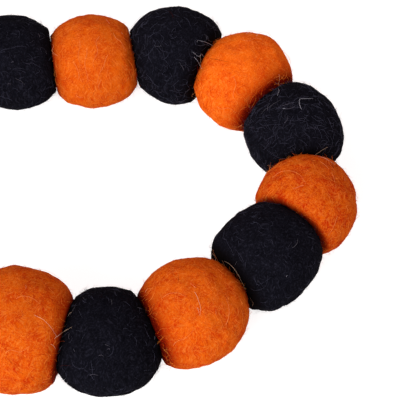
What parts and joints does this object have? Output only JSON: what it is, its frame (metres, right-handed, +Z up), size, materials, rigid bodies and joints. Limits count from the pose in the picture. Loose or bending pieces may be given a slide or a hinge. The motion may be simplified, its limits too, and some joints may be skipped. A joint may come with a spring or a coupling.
{
  "type": "felt ball garland",
  "caption": "Garland of round wool felt balls, orange and black by turns, strung tight on a thread and laid flat in a hairpin bend.",
  "frame": {"origin": "middle of the garland's box, on the surface that it lies on", "axes": "+X along the two strands, towards the bend; +Y across them, from the lower strand in the picture to the upper one; +Z up"},
  "size_m": [0.1858, 0.1048, 0.0268],
  "materials": {
    "felt_orange": "matt orange wool felt, fine mottled fibres",
    "felt_black": "matt blue-black wool felt, a few pale fibres",
    "thread": "twisted black thread"
  },
  "bodies": {
    "root": {"ball_01": "felt_black", "ball_02": "felt_orange", "ball_03": "felt_black", "ball_04": "felt_orange", "ball_05": "felt_black", "ball_06": "felt_orange", "ball_07": "felt_black", "ball_08": "felt_orange", "ball_09": "felt_black", "ball_10": "felt_orange", "ball_11": "felt_black", "ball_12": "felt_orange", "ball_13": "felt_black", "ball_14": "felt_orange", "ball_15": "felt_black", "ball_16": "felt_orange", "ball_17": "felt_black", "ball_18": "felt_orange", "thread": "thread"}
  },
  "joints": []
}
